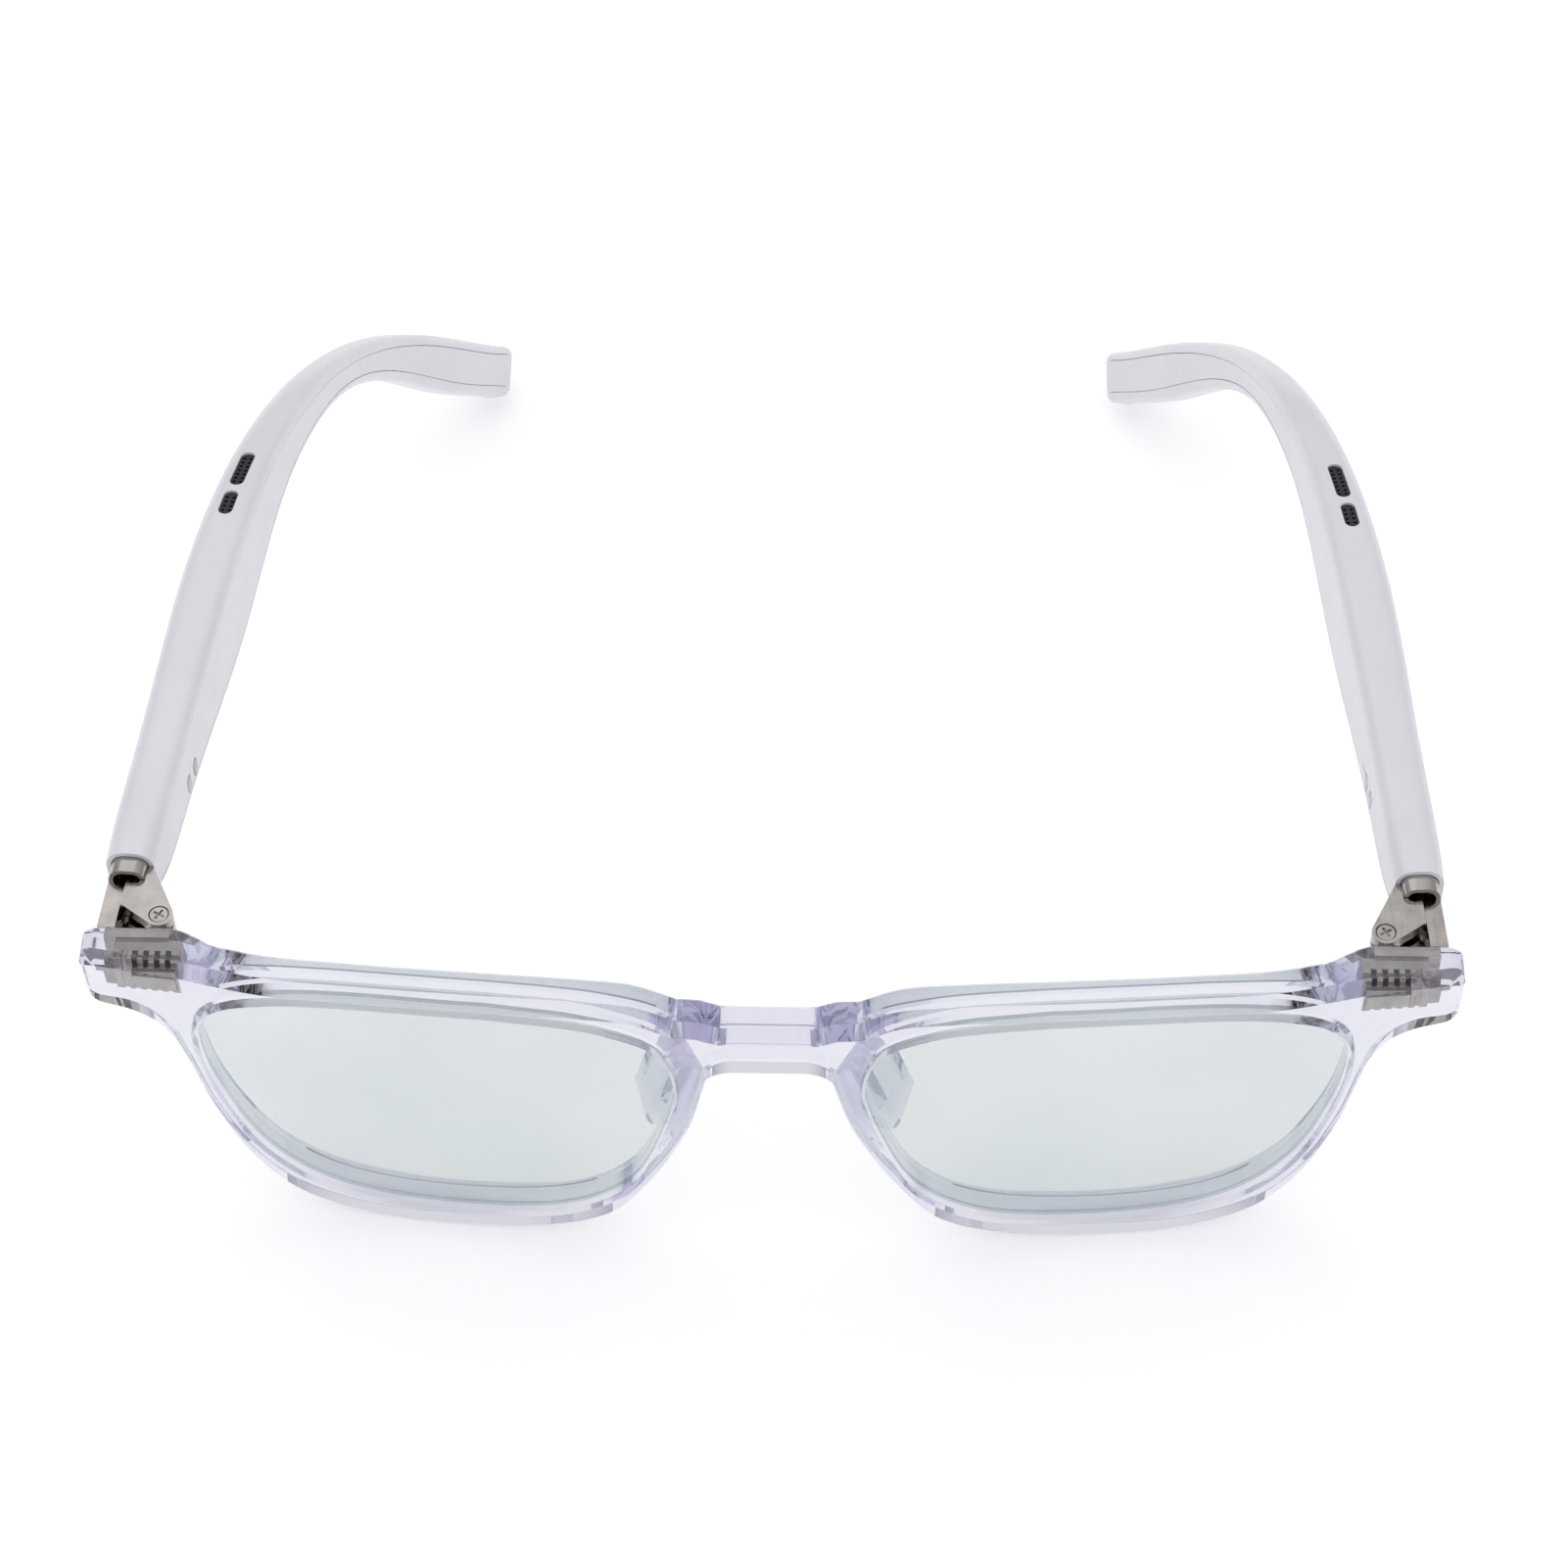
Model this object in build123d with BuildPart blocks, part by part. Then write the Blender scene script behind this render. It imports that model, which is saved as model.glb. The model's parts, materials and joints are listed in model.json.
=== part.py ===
from build123d import *
import math
import os

# Smart glasses: a clear acetate front with glued nose pads, and two hollow white temples that
# hold the electronics and fold on spring hinges.
# Millimetres. +X is the wearer's left, +Y points back to the ears and +Z is up.
# The origin is the centre of the bridge. Each side part is modelled for the wearer's left
# side and mirrored in the YZ plane for the right side.

# ---- front: widths run along X, heights along the leaning front plane ------------------
FRONT_THICKNESS = 4.2
FRONT_RADIUS = 400.0  # plan radius of the front face, which wraps the two lenses slightly
FRONT_TILT = 5.0  # the lower rims lean towards the cheeks by this many degrees
BRIDGE_TOP = 4.0
BRIDGE_UNDERSIDE = -3.1
BRIDGE_HALF = 3.4  # half length of the level part of the bridge
BRIDGE_ROUND = 3.4
NOSE_SLOPE = 9.0  # the nose sides fall away from upright by this many degrees
BROW_HEIGHT = 8.0
ENDPIECE_OUTSIDE = 71.0
ENDPIECE_INSIDE = 60.5
ENDPIECE_UNDERSIDE = -1.0
HINGE_BLOCK_INSIDE = 61.6  # the thickened part of the endpiece starts here
ENDPIECE_BACK = 7.3  # flat face that the hinge is set into
ENDPIECE_ROUND = 1.8
RIM_LOWEST = -39.7

# ---- lenses ----------------------------------------------------------------------------
LENS_WIDTH = 50.3  # of the opening, between its outermost points
LENS_HEIGHT = 40.8
LENS_MIDDLE = (35.15, -16.1)
LENS_THICKNESS = 2.0
LENS_SETBACK = 1.1  # from the front face of the rim to the front face of the lens
LENS_CLEARANCE = 0.04
GROOVE_DEPTH = 0.6
GROOVE_WIDTH = 1.0

# ---- nose pads -------------------------------------------------------------------------
PAD_ROOT = (9.6, -13.2)  # middle of the glued end, on the rim's inner side
PAD_CREST = (12.2, -14.0)  # middle of the free end, which splays out to follow the nose
PAD_HEIGHT = 18.0
PAD_WIDTH = 3.8
PAD_PROUD = 5.6  # how far a pad stands behind the rim
PAD_TAPER = 0.84
PAD_LEAN = 15.0  # a pad follows the slope of the nose
PAD_ROUND = 0.7

# ---- hinge -----------------------------------------------------------------------------
HINGE_X = 63.1
HINGE_Y = 8.9
HINGE_TOP = 8.6
BARREL_HEIGHT = 1.3
BARREL_GAP = 0.06
BARREL_COUNT = 5
BARREL_RADIUS = 1.45
SCREW_RADIUS = 0.60
SCREW_HEAD_RADIUS = 1.04
SCREW_HEAD_HEIGHT = 0.5
RUNNING_CLEARANCE = 0.04
BASE_BACK_SIZE = (6.8, 0.9, 5.2)  # the base: a visible back plate, a serrated block and a rib
BASE_BACK_MIDDLE = (65.2, ENDPIECE_BACK - 0.45, 4.9)
BASE_BLOCK_SIZE = (6.8, 1.8, 4.2)
BASE_BLOCK_MIDDLE = (64.0, 5.5, 4.8)
BASE_RIB_SIZE = (4.6, 0.7, 2.2)
BASE_RIB_MIDDLE = (63.2, 4.25, 4.4)
SERRATION_COUNT = 5
SERRATION_PITCH = 1.15
SERRATION_WIDTH = 0.5
SERRATION_DEPTH = 0.5
KNUCKLE_ROOT = 0.4  # how far a knuckle reaches into the back plate
EAR_X = -1.3  # leaf sizes are in the temple's own frame, x outwards from its centre line
EAR_WIDTH = 2.5
EAR_FRONT = -5.2
SPINE_FRONT = -2.1
SPINE_BACK = -0.1
SLIDER_LOW = 4.6
SLIDER_HIGH = 7.6
SLIDER_INSIDE = -1.0
SLIDER_OUTSIDE = -0.1
SLIDER_END = 4.0
ROD_X = -0.3
ROD_RADIUS = 0.45
ROD_END = 12.1
ROD_ROOT = 1.0  # how far the rod reaches into the sliding bar
ROD_HEAD_RADIUS = 1.0
ROD_HEAD_LENGTH = 0.6
SPRING_TRAVEL = 1.2  # how far a temple can be pulled back off the leaf
SPRING_RADIUS = 0.75
SPRING_WIRE = 0.17
SPRING_TURNS = 7
STRIP_INSIDE = 0.1  # the tongue that backs up against the endpiece when the temple is open
STRIP_OUTSIDE = 1.95
STRIP_FRONT = -7.85
STRIP_LOW = 3.6
STRIP_ROOT_LOW = 5.4
STRIP_HIGH = 8.0

# ---- temple ----------------------------------------------------------------------------
TEMPLE_X = 67.0  # centre line at the front end of the housing
TEMPLE_Y = 15.4
TEMPLE_TOP = 10.4
TEMPLE_STRAIGHT = 40.6  # level stretch before the ear bend, in side view
BEND_RADIUS = 91.4
BEND_ANGLE = 47.6
TOE_IN = 3.8  # degrees that a temple closes in from its hinge on
TIP_CURL = 16.8  # further inward curl of the tip, which grows with the cube of the distance
TIP_CUT = 18.7  # slant of the end face
TEMPLE_SECTIONS = (  # distance along the side view, width, height
    (0, 5.1, 6.9),
    (12, 5.4, 9.2),
    (28, 5.6, 11.2),
    (44, 5.8, 12.1),
    (56, 5.5, 9.9),
    (70, 5.1, 6.8),
    (84, 4.7, 5.1),
    (98, 4.6, 5.0),
    (112, 5.3, 6.4),
    (126, 5.5, 7.0),
    (137, 5.2, 7.1),
)
TEMPLE_LENGTH = TEMPLE_SECTIONS[-1][0]
WALL = 1.1
OUTER_ROUND = 2.3
INNER_ROUND = 1.3
FRONT_ROUND = 0.6  # the inner corners are this much rounder at the front end
FRONT_ROUND_END = 12.0
TIP_ROUND = 1.2
COVER_THICKNESS = 1.2
COVER_INSET = 1.3
COVER_END = 1.9  # the cover stops this far short of the tip
COVER_START = 1.3
COVER_GAP = 0.05
CAVITY_END = 78.0
CAP_FLANGE = (-1.9, 1.2)  # start and end of the cap's collar, which stands out of the housing
CAP_GAP = 0.55  # the collar is this much smaller all round than the temple's own section
COLLAR_DEPTH = 0.2  # the collar is hollow as far as this behind the housing's front end
COLLAR_WALL = 0.5
COLLAR_CLEARANCE = 0.1  # between the collar and the ears that pass through it
CAP_END = 6.0
SLOT_WIDTH = 1.65
SPEAKER_SLOTS = ((57.3, 6.3), (51.1, 4.1))  # centre distance and length of each sound slot
CONTACT_SPOTS = ((15.2, -1.9), (18.0, -2.2))  # distance and height of each charging contact
CONTACT_SIZE = (2.2, 1.5)
CONTACT_DEPTH = 1.8
GRILLE_RECESS = 0.3
GRILLE_THICKNESS = 0.6
GRILLE_PITCH = 0.75
GRILLE_HOLE_RADIUS = 0.2

# ---- electronics: places are a distance along the temple and a height on its section ----
MAGNET_SPOT = (21.6, -2.7)
MAGNET_RADIUS = 1.1
MAGNET_THICKNESS = 0.6
BATTERY_AT = 37.5
BATTERY_SIDE = 0.05
BATTERY_SIZE = (2.5, 7.0, 20.0)
BOARD_AT = 19.2
BOARD_SIDE = -0.35
BOARD_SIZE = (0.6, 5.6, 11.6)
BOARD_CHIPS = (  # distance and height from the board's centre, thickness, width, length
    (-3.2, 0.4, 0.8, 3.4, 3.4),
    (1.2, -0.9, 0.6, 2.4, 2.8),
    (4.2, 1.0, 0.5, 2.0, 1.4),
)
SPEAKER_AT = 54.6
SPEAKER_SIZE = (2.7, 4.0, 10.0)
SPEAKER_SPOT = (0.1, -0.4)  # side and height
MICROPHONE_AT = 9.2
MICROPHONE_SPOT = (0.1, -2.45)
MICROPHONE_SIZE = (1.8, 1.1, 2.6)
TOUCH_AT = 35.0
TOUCH_SPOT = (1.52, 0.3)
TOUCH_SIZE = (0.2, 6.0, 13.0)
RIBBON_ENDS = (24.0, 51.5)
RIBBON_SIZE = (1.4, 0.2)

FRONT_PLANE = Plane.XZ.rotated((FRONT_TILT, 0, 0))
FRONT_TOP_PLANE = Plane.XY.rotated((FRONT_TILT, 0, 0))
REACH = 30.0  # half length of the cutting and shaping extrusions through the front
HINGE_PLANE = Plane(origin=(TEMPLE_X, TEMPLE_Y, 0), x_dir=Vector(1, 0, 0).rotate(Axis.Z, TOE_IN))
SCREW_SPOT = HINGE_PLANE.to_local_coords(Vector(HINGE_X, HINGE_Y, 0))


def save(piece, name):
    """Label a finished piece and write its STEP file."""
    piece.part.label = name
    export_step(piece.part, f"parts/{name}.step")


def save_pair(piece, name):
    """Write a left piece and its mirror image for the right side."""
    save(piece, f"left_{name}")
    with BuildPart() as mirrored:
        mirror(piece.part, about=Plane.YZ)
    save(mirrored, f"right_{name}")


# ---- front frame -----------------------------------------------------------------------
def rim_outline():
    """Outer outline of the whole front, seen along the front plane's normal."""
    low = ENDPIECE_UNDERSIDE
    turn = ENDPIECE_OUTSIDE - ENDPIECE_ROUND
    with BuildSketch() as outline:
        with BuildLine():
            Polyline((0, BRIDGE_TOP), (4.8, BRIDGE_TOP), (7.0, 5.0), (9.2, 5.1))
            Spline((9.2, 5.1), (13.5, 7.4), (19.5, BROW_HEIGHT), (30.0, 7.9), (43.5, 7.3), (51.5, 6.9),
                   (56.0, 7.3), (ENDPIECE_INSIDE, BROW_HEIGHT))
            Line((ENDPIECE_INSIDE, BROW_HEIGHT), (turn, BROW_HEIGHT))
            CenterArc((turn, BROW_HEIGHT - ENDPIECE_ROUND), ENDPIECE_ROUND, 0, 90)
            Line((ENDPIECE_OUTSIDE, BROW_HEIGHT - ENDPIECE_ROUND), (ENDPIECE_OUTSIDE, low + ENDPIECE_ROUND))
            CenterArc((turn, low + ENDPIECE_ROUND), ENDPIECE_ROUND, -90, 90)
            arch = CenterArc((BRIDGE_HALF, BRIDGE_UNDERSIDE - BRIDGE_ROUND), BRIDGE_ROUND, NOSE_SLOPE,
                             90 - NOSE_SLOPE)
            Spline((turn, low), (66.6, -1.5), (64.5, -2.9), (62.9, -6.0), (62.0, -10.0), (60.2, -20.4),
                   (57.1, -30.0), (52.7, -36.1), (45.6, -39.2), (35.0, RIM_LOWEST), (25.4, -38.3),
                   (18.1, -34.7), (12.9, -26.1), (8.8, -15.4), arch @ 0)
            Line(arch @ 1, (0, BRIDGE_UNDERSIDE))
            Line((0, BRIDGE_UNDERSIDE), (0, BRIDGE_TOP))
        make_face()
        mirror(about=Plane.YZ)
    return outline.sketch


def lens_outline(grow):
    """The lens opening, made larger all round by grow."""
    middle_x, middle_y = LENS_MIDDLE
    wider = 1 + 2 * grow / LENS_WIDTH
    taller = 1 + 2 * grow / LENS_HEIGHT
    points = ((29.0, 4.4), (38.0, 4.2), (46.0, 3.65), (52.0, 2.5), (57.0, 0.2), (59.6, -3.4),
              (60.3, -8.5), (58.8, -18.6), (55.4, -28.0), (49.8, -33.8), (41.5, -36.3), (31.8, -36.4),
              (22.4, -34.5), (15.8, -28.7), (11.9, -18.5), (10.0, -7.8), (11.8, -0.6), (17.4, 2.9),
              (22.0, 3.85), (29.0, 4.4))
    grown = ((middle_x + (x - middle_x) * wider, middle_y + (y - middle_y) * taller) for x, y in points)
    with BuildSketch() as outline:
        with BuildLine():
            Spline(*grown)
        make_face()
    return outline.sketch


def shell_band(near, far):
    """Plan of the curved layer between two depths behind the front face."""
    with BuildSketch() as band:
        with Locations((0, FRONT_RADIUS - FRONT_THICKNESS / 2)):
            Circle(FRONT_RADIUS - near)
            Circle(FRONT_RADIUS - far, mode=Mode.SUBTRACT)
        Rectangle(2.4 * ENDPIECE_OUTSIDE, 2 * REACH, mode=Mode.INTERSECT)
    return band.sketch


def curved_plate(outline, near, far):
    """An outline cut from the curved layer between two depths."""
    with BuildPart() as plate:
        with BuildSketch(FRONT_PLANE.offset(-REACH)):
            add(outline)
        extrude(amount=2 * REACH)
        with BuildSketch(FRONT_TOP_PLANE.offset(-2 * REACH)):
            add(shell_band(near, far))
        extrude(amount=4 * REACH, mode=Mode.INTERSECT)
    return plate


def lens_with_bevel(clearance):
    """Lens body and the bevelled edge that sits in the rim's groove."""
    near = LENS_SETBACK
    far = LENS_SETBACK + LENS_THICKNESS
    groove = (near + far - GROOVE_WIDTH) / 2
    body = curved_plate(lens_outline(-clearance), near, far)
    edge = curved_plate(lens_outline(GROOVE_DEPTH - clearance), groove + clearance,
                        groove + GROOVE_WIDTH - clearance)
    with BuildPart() as lens:
        add(body.part)
        add(edge.part)
    return lens


def endpiece_core():
    """The thicker, flat-backed block at the end of the front, which holds the hinge."""
    width = ENDPIECE_OUTSIDE - HINGE_BLOCK_INSIDE
    depth = FRONT_THICKNESS
    height = BROW_HEIGHT - ENDPIECE_UNDERSIDE + 2.0
    with BuildPart() as core:
        with BuildSketch(FRONT_PLANE.offset(-REACH)):
            add(rim_outline())
        extrude(amount=2 * REACH)
        middle = (BROW_HEIGHT + ENDPIECE_UNDERSIDE) / 2
        with Locations((HINGE_BLOCK_INSIDE + width / 2, ENDPIECE_BACK - depth / 4, middle)):
            Box(width, depth / 2, height, mode=Mode.INTERSECT)
    return core


def front_frame(hinge_base):
    groove_near = LENS_SETBACK + (LENS_THICKNESS - GROOVE_WIDTH) / 2
    opening = curved_plate(lens_outline(0), -1.0, FRONT_THICKNESS + 1.0)
    groove = curved_plate(lens_outline(GROOVE_DEPTH), groove_near, groove_near + GROOVE_WIDTH)
    core = endpiece_core()
    with BuildPart() as frame:
        add(curved_plate(rim_outline(), 0, FRONT_THICKNESS).part)
        add(core.part)
        mirror(core.part, about=Plane.YZ)
        milled = ENDPIECE_OUTSIDE - HINGE_BLOCK_INSIDE + 4.0
        for side in (-1, 1):
            with Locations((side * (HINGE_BLOCK_INSIDE + milled / 2), ENDPIECE_BACK + REACH / 2, 0)):
                Box(milled, REACH, 2 * REACH, mode=Mode.SUBTRACT)
        add(opening.part, mode=Mode.SUBTRACT)
        mirror(opening.part, about=Plane.YZ, mode=Mode.SUBTRACT)
        add(groove.part, mode=Mode.SUBTRACT)
        mirror(groove.part, about=Plane.YZ, mode=Mode.SUBTRACT)
        add(hinge_base.part, mode=Mode.SUBTRACT)
        mirror(hinge_base.part, about=Plane.YZ, mode=Mode.SUBTRACT)
    return frame


def nose_pad():
    """Clear pad glued to the back of the rim beside the bridge."""
    root = FRONT_THICKNESS / 2 - 1.0
    crest = FRONT_THICKNESS / 2 + PAD_PROUD
    with BuildPart() as pad:
        for depth, middle, size in ((root, PAD_ROOT, 1.0), (crest, PAD_CREST, PAD_TAPER)):
            with BuildSketch(FRONT_PLANE.offset(-depth)):
                with Locations(middle):
                    SlotOverall(PAD_HEIGHT * size, PAD_WIDTH * size, rotation=90 + PAD_LEAN)
        loft()
        fillet(pad.faces().sort_by(Axis.Y)[-1].edges(), PAD_ROUND)
        with BuildSketch(FRONT_TOP_PLANE.offset(-2 * REACH)):
            add(shell_band(-REACH / 5, FRONT_THICKNESS))
        extrude(amount=4 * REACH, mode=Mode.SUBTRACT)
    return pad


# ---- hinge -----------------------------------------------------------------------------
def barrel_level(index):
    """Top of one barrel, counted down from the top of the hinge."""
    return HINGE_TOP - index * (BARREL_HEIGHT + BARREL_GAP)


def hinge_base():
    """Serrated plate sunk in the endpiece, with the two knuckles that the screw passes."""
    block_x, block_y, block_z = BASE_BLOCK_MIDDLE
    serrated_face = block_y - BASE_BLOCK_SIZE[1] / 2
    with BuildPart() as base:
        with Locations(BASE_BLOCK_MIDDLE):
            Box(*BASE_BLOCK_SIZE)
        with Locations(BASE_BACK_MIDDLE):
            Box(*BASE_BACK_SIZE)
        with Locations((block_x, serrated_face, block_z)):
            with GridLocations(SERRATION_PITCH, 0, SERRATION_COUNT, 1):
                Box(SERRATION_WIDTH, 2 * SERRATION_DEPTH, BASE_BLOCK_SIZE[2] + 1, mode=Mode.SUBTRACT)
        with Locations(BASE_RIB_MIDDLE):
            Box(*BASE_RIB_SIZE)
        reach = HINGE_Y - ENDPIECE_BACK
        for index in (1, 3):
            with BuildSketch(Plane.XY.offset(barrel_level(index))):
                with Locations((HINGE_X, HINGE_Y)):
                    Circle(BARREL_RADIUS)
                with Locations((HINGE_X, (HINGE_Y + ENDPIECE_BACK - KNUCKLE_ROOT) / 2)):
                    Rectangle(2 * BARREL_RADIUS, reach + KNUCKLE_ROOT)
            extrude(amount=-BARREL_HEIGHT)
        with Locations((HINGE_X, HINGE_Y, HINGE_TOP)):
            Cylinder(SCREW_RADIUS + RUNNING_CLEARANCE, 4 * HINGE_TOP, mode=Mode.SUBTRACT)
    return base


def hinge_leaf():
    """Three ears, their spine and the sliding bar and rod that run back into the temple."""
    hinge_low = barrel_level(BARREL_COUNT - 1) - BARREL_HEIGHT
    screw_spot = (SCREW_SPOT.X, SCREW_SPOT.Y)
    with BuildPart() as leaf:
        for index in (0, 2, 4):
            with BuildSketch(HINGE_PLANE.offset(barrel_level(index))):
                with Locations(screw_spot):
                    Circle(BARREL_RADIUS)
                with Locations((EAR_X, (EAR_FRONT + SPINE_BACK) / 2)):
                    Rectangle(EAR_WIDTH, SPINE_BACK - EAR_FRONT)
                make_hull()
            extrude(amount=-BARREL_HEIGHT)
        with BuildSketch(HINGE_PLANE.offset(hinge_low)):
            with Locations((EAR_X, (SPINE_FRONT + SPINE_BACK) / 2)):
                Rectangle(EAR_WIDTH, SPINE_BACK - SPINE_FRONT)
        extrude(amount=HINGE_TOP - hinge_low)
        with BuildSketch(HINGE_PLANE.offset(SLIDER_LOW)):
            with Locations(((SLIDER_INSIDE + SLIDER_OUTSIDE) / 2, (SLIDER_END + SPINE_BACK) / 2)):
                Rectangle(SLIDER_OUTSIDE - SLIDER_INSIDE, SLIDER_END - SPINE_BACK)
        extrude(amount=SLIDER_HIGH - SLIDER_LOW)
        with BuildSketch(rod_plane(SLIDER_END - ROD_ROOT)):
            Circle(ROD_RADIUS)
        extrude(amount=ROD_END - SLIDER_END + ROD_ROOT)
        with BuildSketch(rod_plane(ROD_END - ROD_HEAD_LENGTH)):
            Circle(ROD_HEAD_RADIUS)
        extrude(amount=ROD_HEAD_LENGTH)
        with BuildSketch(HINGE_PLANE.offset(HINGE_TOP)):
            with Locations(screw_spot):
                Circle(SCREW_HEAD_RADIUS + RUNNING_CLEARANCE)
        extrude(amount=-SCREW_HEAD_HEIGHT, mode=Mode.SUBTRACT)
        with BuildSketch(HINGE_PLANE.offset(HINGE_TOP)):
            with Locations(screw_spot):
                Circle(SCREW_RADIUS + RUNNING_CLEARANCE)
        extrude(amount=-2 * HINGE_TOP, mode=Mode.SUBTRACT)
    return leaf


def rod_plane(distance):
    """Plane across the spring rod, at a distance back from the housing's front end."""
    rod_height = (SLIDER_LOW + SLIDER_HIGH) / 2
    origin = HINGE_PLANE.from_local_coords(Vector(ROD_X, distance, rod_height))
    return Plane(origin=origin, x_dir=HINGE_PLANE.x_dir, z_dir=HINGE_PLANE.y_dir)


def hinge_screw():
    """Cross-slot screw that pins the ears to the knuckles."""
    shank_length = BARREL_COUNT * BARREL_HEIGHT + (BARREL_COUNT - 1) * BARREL_GAP
    with BuildPart() as screw:
        with BuildSketch(Plane.XY.offset(HINGE_TOP)):
            with Locations((HINGE_X, HINGE_Y)):
                Circle(SCREW_HEAD_RADIUS)
        extrude(amount=-SCREW_HEAD_HEIGHT)
        with BuildSketch(Plane.XY.offset(HINGE_TOP)):
            with Locations((HINGE_X, HINGE_Y)):
                Circle(SCREW_RADIUS)
        extrude(amount=-shank_length)
        chamfer(screw.edges().sort_by(Axis.Z)[-1], 0.12)
        with BuildSketch(Plane.XY.offset(HINGE_TOP)):
            with Locations((HINGE_X, HINGE_Y)):
                Rectangle(1.3, 0.26, rotation=30)
                Rectangle(1.3, 0.26, rotation=120)
        extrude(amount=-0.3, mode=Mode.SUBTRACT)
    return screw


def hinge_spring():
    """Compression spring on the rod, between the cap and the rod's head."""
    end_gap = SPRING_WIRE + 0.03
    seat = rod_plane(CAP_END + end_gap)
    length = ROD_END - ROD_HEAD_LENGTH - CAP_END - 2 * end_gap
    with BuildPart() as spring:
        with BuildLine() as coil:
            Helix(length / SPRING_TURNS, length, SPRING_RADIUS, center=seat.origin, direction=seat.z_dir)
        with BuildSketch(Plane(origin=coil.line @ 0, z_dir=coil.line % 0)):
            Circle(SPRING_WIRE)
        sweep(path=coil.line, is_frenet=True)
    return spring


def hinge_cap():
    """Metal plug in the front of the housing, with its collar and the tongue beside the ears."""
    inset = CAP_GAP + COLLAR_WALL
    hollow = temple_loft((CAP_FLANGE[0] - 0.5, COLLAR_DEPTH), inset, inset, inset, 0.8, 1.25)
    with BuildPart() as cap:
        add(temple_loft(CAP_FLANGE, CAP_GAP, CAP_GAP, CAP_GAP, 1.3, 1.75).part)
        add(hollow.part, mode=Mode.SUBTRACT)
        with BuildSketch(HINGE_PLANE.offset(HINGE_TOP + COLLAR_CLEARANCE)):
            with Locations((EAR_X, CAP_FLANGE[0])):
                Rectangle(EAR_WIDTH + 2 * COLLAR_CLEARANCE, -2 * CAP_FLANGE[0])
        extrude(amount=-2 * HINGE_TOP, mode=Mode.SUBTRACT)
        add(temple_loft((CAP_FLANGE[1], CAP_END), COVER_THICKNESS + 0.05, 0.65, 1.15, 0.3, 1.2).part)
        for low, rear in ((STRIP_LOW, -0.15), (STRIP_ROOT_LOW, CAP_FLANGE[1])):
            with BuildSketch(HINGE_PLANE.offset(low)):
                with Locations(((STRIP_INSIDE + STRIP_OUTSIDE) / 2, (STRIP_FRONT + rear) / 2)):
                    Rectangle(STRIP_OUTSIDE - STRIP_INSIDE, rear - STRIP_FRONT)
            extrude(amount=STRIP_HIGH - low)
        slot_width = SLIDER_OUTSIDE - SLIDER_INSIDE + 2 * RUNNING_CLEARANCE
        with BuildSketch(HINGE_PLANE.offset(SLIDER_LOW - RUNNING_CLEARANCE)):
            with Locations(((SLIDER_INSIDE + SLIDER_OUTSIDE) / 2, SLIDER_END / 2 + 0.1)):
                Rectangle(slot_width, SLIDER_END + 0.2)
        extrude(amount=SLIDER_HIGH - SLIDER_LOW + 2 * RUNNING_CLEARANCE, mode=Mode.SUBTRACT)
        with BuildSketch(rod_plane(SLIDER_END - ROD_ROOT - SPRING_TRAVEL - RUNNING_CLEARANCE)):
            Circle(ROD_RADIUS + RUNNING_CLEARANCE)
        extrude(amount=CAP_END, mode=Mode.SUBTRACT)
    return cap


# ---- temple ----------------------------------------------------------------------------
def temple_size(distance):
    """Width and height of the temple at a distance along its side view."""
    for near, far in zip(TEMPLE_SECTIONS, TEMPLE_SECTIONS[1:]):
        if distance <= far[0]:
            break
    share = (distance - near[0]) / (far[0] - near[0])
    return near[1] + share * (far[1] - near[1]), near[2] + share * (far[2] - near[2])


def top_edge(distance):
    """Point on the top centre line and its direction in side view, from the housing's front."""
    bend = math.radians(BEND_ANGLE)
    turned = min(max(distance - TEMPLE_STRAIGHT, 0) / BEND_RADIUS, bend)
    beyond = max(distance - TEMPLE_STRAIGHT - BEND_RADIUS * bend, 0)
    back = min(distance, TEMPLE_STRAIGHT) + BEND_RADIUS * math.sin(turned) + beyond * math.cos(turned)
    drop = BEND_RADIUS * (1 - math.cos(turned)) + beyond * math.sin(turned)
    inward = math.tan(math.radians(TOE_IN)) * distance + TIP_CURL * (distance / TEMPLE_LENGTH) ** 3
    return Vector(TEMPLE_X - inward, TEMPLE_Y + back, TEMPLE_TOP - drop), turned


def station(distance, height=0.0, side=0.0):
    """Plane across the temple: local x points outwards and local y up, from its centre line.
    height and side shift the origin. The last stretch slants to meet the cut end face."""
    point, turned = top_edge(distance)
    slope = math.tan(math.radians(TOE_IN)) + 3 * TIP_CURL * max(distance, 0) ** 2 / TEMPLE_LENGTH ** 3
    along = Vector(-slope, math.cos(turned), -math.sin(turned)).normalized()
    up = Vector(0, math.sin(turned), math.cos(turned))
    outward = along.cross(up).normalized()
    centre = point - up * (temple_size(distance)[1] / 2)
    last = TEMPLE_SECTIONS[-2][0]
    slant = TIP_CUT * max(distance - last, 0) / (TEMPLE_LENGTH - last)
    plane = Plane(origin=centre + outward * side + up * height, x_dir=outward, z_dir=-along)
    return plane.rotated((-slant, 0, 0))


def temple_loft(stations, inner_inset, outer_inset, edge_inset, inner_round, outer_round, softer=0.0):
    """Rounded box section, inset from the temple's own section, carried through the stations.
    softer adds to the inner rounding at the front end."""
    with BuildPart() as body:
        for distance in stations:
            width, height = temple_size(distance)
            with BuildSketch(station(distance)) as section:
                with Locations(((inner_inset - outer_inset) / 2, 0)):
                    Rectangle(width - inner_inset - outer_inset, height - 2 * edge_inset)
                near_front = max(0, 1 - distance / FRONT_ROUND_END)
                fillet(section.vertices().group_by(Axis.X)[0], inner_round + softer * near_front)
                fillet(section.vertices().group_by(Axis.X)[-1], outer_round)
        loft()
    return body


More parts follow.
